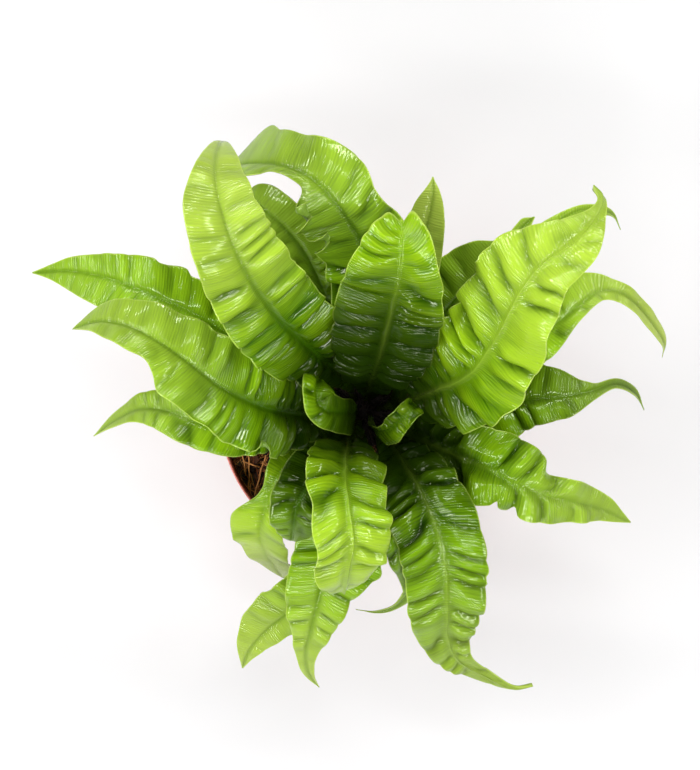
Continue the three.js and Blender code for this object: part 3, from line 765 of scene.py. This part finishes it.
def leaf_material(name, crest, crease, under):
    """Waxy frond: fine veins from rib to margin, pale margin, dark foot partly painted shade, stalk, painted
    light and shade, light shining through.
    """
    n = Nodes(name)
    names = ("vein", "across", "share", "pleat", "rib", "depth", "foot")
    vein, across, share, folds, rib, depth, foot = (n.attribute(name) for name in names)

    def veined(along_rib, from_rib, rough=0.5):
        place = n.add("CombineXYZ", {0: n.times(vein, along_rib), 1: n.times(across, from_rib)})
        return n.noise(place[0], 1, 2, rough)

    streaks = veined(1300, 50, 0.65)
    broad = veined(300, 45)
    patches = n.noise(n.add("TexCoord")["Object"], 30, 2)
    lines = n.maths("SINE", n.plus(n.times(vein, 5300), n.times(broad, 9)))

    # How far a place is lit, as painted light and shade, from the creases' colour to the crests':
    # pleat height, shade in the middle and the frond's tone, with fine veins and streaks of colour
    lit = n.plus(n.times(folds, 0.3), n.times(n.attribute("tone"), 0.5))
    lit = n.plus(lit, n.times(lines, 0.1))
    for noise, strength in ((streaks, 1.1), (broad, 0.7), (patches, 0.5)):
        lit = n.plus(lit, n.swing(noise, strength))
    lit = n.plus(lit, n.times(depth, 0.55))
    lit = n.maths("SUBTRACT", lit, 0.1, clamp=True)

    # Colour: painted shade in the middle, pale tip partly painted light, painted shade in the creases and
    # the sunk rib, painted light on the raised rib, margin, underside, dark foot partly painted shade, and
    # stalk
    colour = n.mix(lit, crease, crest)
    colour = n.mix(n.span(depth, 0, 0.52, 0.88, 0), colour, DEEP_SHADE)
    # Pale tip outside the shade: partly the tip's own paler green, partly painted light
    paleness = n.times(n.span(share, 0.45, 0.95), n.attribute("paleness"))
    colour = n.mix(n.times(paleness, n.span(depth, 0.2, 0.8)), colour, PALE_AND_LIT_TIP)
    # Painted shade: the low creases of the pleats are darkened with their crease colour
    colour = n.mix(n.span(folds, -1.3, 0.5, 0.65, 0), colour, crease, "MULTIPLY")
    colour = n.mix(n.times(rib, 0.35, clamp=True), colour, LIT_RIB)
    # Painted shade in the sunk rib's groove
    colour = n.mix(n.times(rib, -0.7, clamp=True), colour, SHADED_SUNK_RIB)
    margin = n.times(n.span(n.attribute("edge"), 0.0001, 0.0007, 1, 0), n.span(depth, 0, 0.5, 0.2, 0.6))
    colour = n.mix(margin, colour, PALE_MARGIN)
    colour = n.mix(n.times(n.attribute("under"), 0.55), colour, under)
    # Darker towards the foot: the foot's own darker green and painted shade near the crown
    colour = n.mix(n.times(foot, 0.85), colour, DARK_FOOT_AND_SHADE)
    colour = n.mix(n.span(share, 0.04, 0.15, 1, 0), colour, BROWN_STALK)

    # Waxy gloss over fine ridges, and light through the blade
    rough = n.span(streaks, 0.3, 0.75, 0.1, 0.17, "LINEAR")
    ridges = n.bump(n.plus(streaks, n.times(lines, 0.22)), 0.00018, 1)
    ridges = n.bump(broad, 0.0003, 0.5, ridges)
    shine = n.times(n.span(depth, 0, 0.5, 0.25, 0.5), n.span(foot, 0, 1, 1, 0.4))
    wax = n.surface(colour, rough, ridges, IOR=1.48, Specular_IOR_Level=shine, Specular_Tint=WAX_TINT)
    through = n.add("BsdfTranslucent", {"Color": n.mix(0.5, colour, LIGHT_THROUGH), "Normal": ridges})
    return n.finish(n.add("MixShader", {0: 0.18, 1: wax, 2: through[0]})[0])


# Crests and creases of the pleats and the underside, by the record's slot; the creases' colour is a
# painted shade of the crests' green
LEAF_MATERIALS = {
    "frond_bright": leaf_material("leaf_bright", rgb(156, 197, 22), rgb(57, 110, 0), rgb(146, 176, 74)),
    "frond_green": leaf_material("leaf_green", rgb(141, 187, 15), rgb(47, 98, 0), rgb(136, 168, 70)),
    "frond_deep": leaf_material("leaf_deep", rgb(119, 163, 8), rgb(37, 76, 0), rgb(118, 152, 60)),
}


def softened(outline, radius):
    """The outline with its corners rounded off."""
    p = np.array(outline, float)
    u = np.linspace(0, 1, 5)[:, None]
    parts = [p[:1]]
    for before, corner, after in zip(p, p[1:], p[2:]):
        reach = min(radius, 0.45 * math.dist(before, corner), 0.45 * math.dist(after, corner))
        start = corner + unit(before - corner) * reach
        end = corner + unit(after - corner) * reach
        parts.append((1 - u) ** 2 * start + 2 * u * (1 - u) * corner + u**2 * end)
    return np.vstack([*parts, p[-1:]])


def turned_body(outline, steps):
    """Points and triangles of a closed body of revolution whose outline starts and ends on the axis."""
    r, z = outline[1:-1, :1], outline[1:-1, 1:]
    turn = np.linspace(0, math.tau, steps, endpoint=False)
    rings = np.stack([r * np.cos(turn), r * np.sin(turn), z + 0 * turn], axis=2).reshape(-1, 3)
    points = np.vstack([rings, [[0, 0, outline[0, 1]], [0, 0, outline[-1, 1]]]])
    i, j = np.meshgrid(np.arange(len(r) - 1) * steps, np.arange(steps), indexing="ij")
    a = (i + j).ravel()
    b = (i + (j + 1) % steps).ravel()
    here = np.arange(steps)
    after = (here + 1) % steps
    bottom = np.full(steps, len(rings))
    last = (len(r) - 1) * steps
    walls = [(a, b, b + steps), (a, b + steps, a + steps)]
    ends = [(bottom, after, here), (bottom + 1, last + here, last + after)]
    return points, np.vstack([np.stack(corners, axis=1) for corners in walls + ends])


def cut_holes(thing, cutter):
    """Cuts the cutter's shape out of the thing and removes the cutter."""
    modifier = thing.modifiers.new("holes", "BOOLEAN")
    modifier.object = cutter
    modifier.solver = "EXACT"
    shape = bpy.data.meshes.new_from_object(thing.evaluated_get(bpy.context.evaluated_depsgraph_get()))
    thing.modifiers.clear()
    thing.data = shape
    bpy.data.objects.remove(cutter)


def lumps(x, y, size, seed):
    """Smooth unevenness over the plane, about -1 to 1, in lumps of about the given size."""
    draw = np.random.default_rng(seed)
    total = np.zeros_like(x)
    for _ in range(14):
        turn, phase = draw.uniform(0, math.tau, 2)
        pace = math.pi / size * draw.uniform(0.6, 1.6)
        total += np.sin(pace * (x * math.cos(turn) + y * math.sin(turn)) + phase)
    return total / 5


def strands(paths, widths, flat=1):
    """Points and quads of thin closed tubes, each from a path and its half widths."""
    count, steps = paths.shape[:2]
    forward = unit(np.gradient(paths, axis=1))
    side = unit(np.cross(forward, [0.05, 0.02, 1]))
    face = np.cross(side, forward) * flat
    ring = np.stack([side, face, -side, -face], axis=2)
    points = paths[:, :, None] + ring * widths[:, :, None, None]
    start = (np.arange(count) * steps * 4)[:, None, None]
    i = (np.arange(steps - 1) * 4)[:, None]
    j = np.arange(4)
    a = start + i + j
    b = start + i + (j + 1) % 4
    walls = np.stack([b, a, a + 4, b + 4], axis=3).reshape(-1, 4)
    first = start[:, 0] + np.array([0, 1, 2, 3])
    last = start[:, 0] + (steps - 1) * 4 + np.array([3, 2, 1, 0])
    return points.reshape(-1, 3), np.vstack([walls, first, last])


def dress(thing, node, material):
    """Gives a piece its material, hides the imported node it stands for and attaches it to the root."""
    thing.data.materials.append(material)
    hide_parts(node)
    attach(thing, "root")


# Outline of the pot: middle pad, foot ring, outer wall, rim, inner wall and floor, as radius and height
POT_OUTLINE = [
    [0, 0], [14, 0], [15, 3], [44, 3], [45, 0], [50, 0], [65.2, 105], [69.2, 105.8], [70, 119.2], [69.4, 120],
    [68.7, 119.2], [68.4, 107.6], [63.5, 105], [48.3, 5.2], [0, 5.2],
]
POT_CORNER = 0.6
POT_STEPS = 192
SHARP_FROM = 32
DRAIN_HOLES = 6
DRAIN_CIRCLE = 30
DRAIN_PLUG = [[0, -1], [5, -1], [5, 8], [0, 8]]
DRAIN_STEPS = 40

# Potting mix, up to its uneven top
SOIL_LIP = 68.2
SOIL_SIDE = [[0, 5.55], [47.6, 5.55], [62.6, 104.8], [66.6, 107.6], [SOIL_LIP, 108.4]]
SOIL_STEPS = 288
SOIL_RINGS = 96
SOIL_TOP = 109
SOIL_DOME = 3
SOIL_EDGE = 63.3
SOIL_RISE = 4
CROWN_PIT = 18
CROWN_SEAT = 99.65

# Chips, fibres and roots on the mix
CHIPS = 1300
FIBRES = 1900
FIBRE_STEPS = 9
FIBRE_LIFT = 0.25
ROOT_WIDTH = 0.36
ROOT_SHADE = 0.85

# The crown and its scales
CROWN_OUTLINE = [[0, 100], [19, 100], [18, 108], [15, 116], [10, 123], [6, 127], [0, 128]]
CROWN_FOOT = 104
CROWN_RADIUS = 19
CROWN_HEIGHT = 23
CROWN_SCALES = 420
STALK_SCALES = 26
SCALE_STEPS = 5
SCALE_DROOP = 1.2


def plastic_material():
    """Thin moulded terracotta plastic: faint flow streaks, painted light along the top of the rim, dust and
    splashes of soil.
    """
    n = Nodes("pot_plastic")
    here = n.add("TexCoord")["Object"]
    height = n.add("SeparateXYZ", {0: here})["Z"]
    stretched = n.add("VectorMath", {0: here, 1: (1, 1, 0.12)}, operation="MULTIPLY")[0]
    flow = n.noise(stretched, 160)
    patches = n.noise(here, 22)
    grit = n.noise(here, 900, 3, 0.7)
    colour = n.mix(n.span(flow, 0.3, 0.7), rgb(196, 86, 72), rgb(214, 108, 92))
    colour = n.mix(n.span(patches, 0.35, 0.7, 0, 0.5), colour, rgb(158, 72, 58))
    splashes = n.times(n.span(height, 0, 0.035, 1, 0), n.span(grit, 0.42, 0.6))
    colour = n.mix(n.times(splashes, 0.6), colour, rgb(96, 66, 48))
    dust = n.times(n.span(patches, 0.45, 0.75), n.span(grit, 0.4, 0.75))
    colour = n.mix(n.times(dust, 0.35), colour, rgb(206, 168, 148))
    # Painted light: the top of the rim is lightened in grainy specks
    rim_painted_light = n.times(n.span(height, 0.1185, 0.1198), n.span(grit, 0.35, 0.6))
    colour = n.mix(n.times(rim_painted_light, 0.75), colour, rgb(238, 142, 126))
    rough = n.span(grit, 0.3, 0.7, 0.38, 0.56)
    relief = n.bump(flow, 0.00025, 0.6, n.bump(grit, 0.00005, 0.8))
    return n.finish(n.surface(colour, rough, relief))


def earth_material():
    """Damp, crumbly dark mix."""
    n = Nodes("potting_mix_crumbs")
    here = n.add("TexCoord")["Object"]
    crumbs = n.noise(here, 420, 5, 0.7)
    clods = n.noise(here, 110)
    colour = n.mix(n.span(crumbs, 0.35, 0.68), rgb(24, 15, 10), rgb(74, 48, 30))
    colour = n.mix(n.span(clods, 0.5, 0.8, 0, 0.5), colour, rgb(104, 66, 38))
    relief = n.bump(clods, 0.0012, 0.7, n.bump(crumbs, 0.0008, 1))
    return n.finish(n.surface(colour, n.span(clods, 0.3, 0.7, 0.75, 0.95), relief))


def husk_material(name, dark, light, roughness, grain=500):
    """Bark, coir or dry scale: its own shade value and fibrous grain, darkened by the crown as painted shade.
    """
    n = Nodes(name)
    here = n.add("TexCoord")["Object"]
    fibres = n.noise(here, grain, 4, 0.65)
    shade = n.plus(n.times(n.attribute("shade"), 0.75), n.swing(fibres, 1.1))
    colour = n.mix(n.span(shade, 0, 1), dark, light)
    place = n.add("SeparateXYZ", {0: here})
    from_axis_squared = n.plus(n.times(place["X"], place["X"]), n.times(place["Y"], place["Y"]))
    # Painted shade: darker towards the crown's axis
    colour = n.mix(n.span(from_axis_squared, 0.0003, 0.0013, 0.65, 0), colour, rgb(14, 8, 4))
    rough = n.span(fibres, 0.3, 0.7, roughness, roughness + 0.15)
    relief = n.bump(fibres, 0.0003, 0.9)
    return n.finish(n.surface(colour, rough, relief, Specular_IOR_Level=0.2))


def build_pot():
    """The pot with its drainage holes."""
    points, faces = turned_body(softened(POT_OUTLINE, POT_CORNER), POT_STEPS)
    pot = new_mesh("pot_wall", points, faces)
    plug, plug_faces = turned_body(np.array(DRAIN_PLUG, float), DRAIN_STEPS)
    turn = np.arange(DRAIN_HOLES) * math.tau / DRAIN_HOLES
    middles = np.stack([DRAIN_CIRCLE * np.cos(turn), DRAIN_CIRCLE * np.sin(turn), 0 * turn], axis=1)
    plugs = (middles[:, None] + plug).reshape(-1, 3)
    faces = np.vstack([plug_faces + k * len(plug) for k in range(DRAIN_HOLES)])
    cut_holes(pot, new_mesh("drain_plugs", plugs, faces))
    pot.data.set_sharp_from_angle(angle=math.radians(SHARP_FROM))
    dress(pot, "pot", plastic_material())


def soil_height(x, y):
    """Height of the potting mix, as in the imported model, with finer clods."""
    share = np.minimum(np.hypot(x, y) / SOIL_EDGE, 1)
    slow = np.sin(0.322 * x + 1.3) * np.cos(0.266 * y - 0.4)
    slow = slow + 0.6 * np.sin(0.574 * x - 0.518 * y) * np.cos(0.742 * y + 0.8)
    rise = SOIL_RISE * ramp(60, SOIL_LIP, np.hypot(x, y))
    height = SOIL_TOP + SOIL_DOME * (1 - share) + rise + 1.2 * slow
    return height + 0.8 * lumps(x, y, 5, 31) + 0.5 * lumps(x, y, 2.2, 32)


def build_soil():
    """The potting mix, with a seat for the crown in its top."""
    radii = np.concatenate([[0, 10, CROWN_PIT - 0.1], np.linspace(CROWN_PIT + 0.2, SOIL_LIP, SOIL_RINGS)])
    above_side = SOIL_TOP + SOIL_DOME
    outline = SOIL_SIDE + [[r, above_side] for r in radii[:0:-1]] + [[0, above_side]]
    points, faces = turned_body(np.array(outline, float), SOIL_STEPS)
    r = np.hypot(points[:, 0], points[:, 1])
    top = points[:, 2] > above_side - 1
    points[top, 2] = soil_height(points[top, 0], points[top, 1])
    points[top & (r < CROWN_PIT), 2] = CROWN_SEAT
    dress(new_mesh("soil_body", points, faces), "soil", earth_material())


def ring_places(count, inner, outer):
    """Seeded places spread evenly over a ring."""
    r = np.sqrt(between(inner**2, outer**2, count))
    turn = between(0, math.tau, count)
    return r * np.cos(turn), r * np.sin(turn)


def build_chips():
    """Loose chips of bark, each a rough box lying nearly flat."""
    x, y = ring_places(CHIPS, 16.5, 63.5)
    size = between([2, 1.2, 0.5], [7, 3.6, 1.6], (CHIPS, 3))
    corners = np.array([[i, j, k] for k in (-1, 1) for j in (-1, 1) for i in (-1, 1)]) / 2
    boxes = corners * size[:, None] * between(0.65, 1.15, (CHIPS, 8, 3))
    yaw = between(0, math.tau, CHIPS)
    along_chip = unit(np.stack([np.cos(yaw), np.sin(yaw), between(-0.35, 0.35, CHIPS)], axis=1))
    sideways = np.stack([-np.sin(yaw), np.cos(yaw), between(-0.4, 0.4, CHIPS)], axis=1)
    over = unit(np.cross(along_chip, sideways))
    axes = np.stack([along_chip, np.cross(over, along_chip), over], axis=1)
    middles = np.stack([x, y, soil_height(x, y) + 0.25 * size[:, 2]], axis=1)
    points = np.einsum("nkc,ncd->nkd", boxes, axes) + middles[:, None]
    sides = np.array([[0, 2, 3, 1], [4, 5, 7, 6], [0, 1, 5, 4], [2, 6, 7, 3], [0, 4, 6, 2], [1, 3, 7, 5]])
    faces = (sides[None] + 8 * np.arange(CHIPS)[:, None, None]).reshape(-1, 4)
    shade = np.repeat(between(0, 1, CHIPS) ** 1.6, 8)
    chips = new_mesh("bark_chips", points.reshape(-1, 3), faces, {"shade": shade}, smooth=False)
    dress(chips, "soil", husk_material("bark", rgb(24, 14, 9), rgb(96, 56, 30), 0.75))


# Long straight roots lying on the mix, each from one place to another
ROOTS = [
    [-55.8, -21, -56.4, -37.4], [-47.5, -20, -53.2, -40.6], [-60, -12, -57.8, -31], [-50.5, -27, -59.5, -24],
    [30, -45, 47, -38], [52, 18, 40, 38], [-20, 52, 4, 58], [20, 55, 38, 44],
]


def build_fibres():
    """Short bent coir fibres over the mix, and the long roots."""
    x, y = ring_places(FIBRES, 20, 67)
    length = between(6, 30, FIBRES)
    heading = between(0, math.tau, FIBRES)
    bend = between(-0.06, 0.06, FIBRES)
    walked = np.linspace(0, 1, FIBRE_STEPS)
    turn = heading[:, None] + bend[:, None] * length[:, None] * walked
    stride = length[:, None] / (FIBRE_STEPS - 1)
    px = x[:, None] + np.cumsum(np.cos(turn) * stride, axis=1)
    py = y[:, None] + np.cumsum(np.sin(turn) * stride, axis=1)
    r = np.hypot(px, py)
    held = np.clip(r, 17.5, SOIL_LIP - 0.4) / r
    px, py = px * held, py * held
    lift = between(0.2, 1.6, FIBRES)[:, None] * np.sin(math.pi * walked)
    paths = np.stack([px, py, soil_height(px, py) + FIBRE_LIFT + lift], axis=2)
    thin = between(0.1, 0.26, FIBRES)[:, None] * (1 - 0.75 * np.abs(2 * walked - 1) ** 3)
    roots = np.array(ROOTS, float)[:, :, None]
    rx, ry = mix(roots[:, 0], roots[:, 2], walked), mix(roots[:, 1], roots[:, 3], walked)
    rx = rx + 0.5 * lumps(ry, rx, 6, 51)
    rise = 1.3 + 0.6 * np.sin(math.pi * walked)
    paths = np.concatenate([paths, np.stack([rx, ry, soil_height(rx, ry) + rise], axis=2)])
    points, faces = strands(paths, np.concatenate([thin, ROOT_WIDTH + 0 * rx]))
    shades = np.append(between(0, 1, FIBRES), np.full(len(ROOTS), ROOT_SHADE))
    shade = np.repeat(shades, FIBRE_STEPS * 4)
    fibres = new_mesh("coir_fibres", points, faces, {"shade": shade})
    dress(fibres, "soil", husk_material("coir", rgb(112, 54, 22), rgb(244, 172, 102), 0.6))


def build_crown():
    """The lumpy heart of the crown and its scales."""
    points, faces = turned_body(softened(CROWN_OUTLINE, 1.5), 96)
    out = unit(points - [0, 0, CROWN_FOOT])
    points = points + out * (0.7 * lumps(points[:, 0] + points[:, 2], points[:, 1], 3, 41))[:, None]
    heart = new_mesh("crown_heart", points, faces, {"shade": np.full(len(points), 0.2)})
    # The dry scales' dark browns are partly their own colour, partly painted shade in the throat
    scale_finish = husk_material("dry_scales", rgb(10, 7, 5), rgb(52, 35, 21), 0.85, 700)
    dress(heart, "crown", scale_finish)
    build_scales(scale_finish)


def build_scales(finish):
    """Narrow dry scales over the crown and up the foot of every stalk."""
    starts, headings = [], []
    for _ in range(CROWN_SCALES):
        rise = between(0.1, 0.95) * math.pi / 2
        turn = between(0, math.tau)
        r = CROWN_RADIUS * math.cos(rise)
        z = CROWN_FOOT + CROWN_HEIGHT * math.sin(rise)
        outward = np.array([math.cos(turn), math.sin(turn), 0])
        starts.append(outward * r + [0, 0, z])
        headings.append(outward * between(0.3, 0.9) + [0, 0, between(0.5, 1)])
    for frond in FRONDS:
        points, sides, faces, length = spine_axes(frond, 200)
        for _ in range(STALK_SCALES):
            at = int(between(3, 30) / length * 199)
            turn = between(0, math.tau)
            outward = sides[at] * math.cos(turn) * 1.5 + faces[at] * math.sin(turn) * 1.1
            starts.append(points[at] + outward)
            headings.append(unit(points[at + 1] - points[at]) + unit(outward) * between(0.15, 0.5))
    starts, headings = np.array(starts), unit(np.array(headings))
    count = len(starts)
    walked = np.linspace(0, 1, SCALE_STEPS)[None, :, None]
    length = between(4, 9, count)[:, None, None]
    droop = np.array([0, 0, -SCALE_DROOP]) * walked**2
    paths = starts[:, None] + headings[:, None] * length * walked + droop
    taper = np.array([0.5, 1, 0.8, 0.45, 0.08])
    points, faces = strands(paths, between(0.3, 0.6, count)[:, None] * taper, 0.3)
    shade = np.repeat(between(0, 1, count), SCALE_STEPS * 4)
    dress(new_mesh("crown_scales", points, faces, {"shade": shade}), "crown", finish)


slot_of = {part["node"]: part["material_slot"] for part in frame["record"]["subparts"]}
for number, frond in enumerate(FRONDS):
    name = frond["name"]
    dress(build_frond(frond, 100 + 10 * number), name, LEAF_MATERIALS[slot_of[name]])
build_pot()
build_soil()
build_chips()
build_fibres()
build_crown()

# Half the side of the floor
FLOOR = 6000
FLOOR_COLOUR = (0.66, 0.66, 0.665, 1)

# Strip lights round the plant and one overhead: name, place, length and width, power, all in metres and watts
LIGHT_TARGET = (0, 0, 0.2)
LIGHTS = [
    ("strip_front", (-0.1, -1, 1.15), (1.6, 0.1), 17),
    ("strip_left", (-1.05, 0.05, 1.15), (1.5, 0.1), 16),
    ("strip_back", (0.1, 1, 1.15), (1.4, 0.09), 14),
    ("strip_right", (1.1, -0.05, 1.15), (1.3, 0.09), 9),
    ("overhead", (0.1, 0.3, 1.6), (0.45, 0.12), 2.5),
]

# Strength of the studio's walls, up to a height from 0 to 1, and of its ceiling
WALL_LIGHT = 0.13
WALL_TOP = 0.5
CEILING_LIGHT = 0.05
CEILING_FROM = 0.92
STUDIO_COLOUR = (1, 0.985, 0.96, 1)


def add_light(name, place, size, power):
    data = bpy.data.lights.new(name, "AREA")
    data.shape = "RECTANGLE"
    data.size, data.size_y = size
    data.energy = power
    lamp = new_object(name, data)
    lamp.location = place
    lamp.rotation_euler = (Vector(LIGHT_TARGET) - Vector(place)).to_track_quat("-Z", "Y").to_euler()


def studio_world():
    """Pale studio walls all round, dimmer overhead."""
    n = Nodes("studio", world=True)
    height = n.add("SeparateXYZ", {0: n.add("TexCoord")["Generated"]})["Z"]
    light = n.span(height, WALL_TOP, CEILING_FROM, WALL_LIGHT, CEILING_LIGHT)
    return n.finish(n.add("Background", {"Color": STUDIO_COLOUR, "Strength": light})[0])


def build_stage():
    """Plain pale floor, studio walls and lights."""
    corners = [(-FLOOR, -FLOOR, 0), (FLOOR, -FLOOR, 0), (FLOOR, FLOOR, 0), (-FLOOR, FLOOR, 0)]
    floor = new_mesh("floor", corners, [(0, 1, 2, 3)])
    n = Nodes("floor_finish")
    inputs = {"Base Color": FLOOR_COLOUR, "Roughness": 0.8, "Specular IOR Level": 0.1}
    floor.data.materials.append(n.finish(n.add("BsdfPrincipled", inputs)[0]))
    scene.world = studio_world()
    for light in LIGHTS:
        add_light(*light)


def build_camera():
    data = bpy.data.cameras.new("camera")
    data.lens = FOCAL_LENGTH
    data.sensor_width = SENSOR_WIDTH
    data.clip_start, data.clip_end = 0.05, 20
    camera = new_object("camera", data)
    camera.location = Vector(CAMERA_PLACE) * MM
    bpy.context.scene.camera = camera


build_stage()
build_camera()
scene.view_settings.view_transform = "Standard"
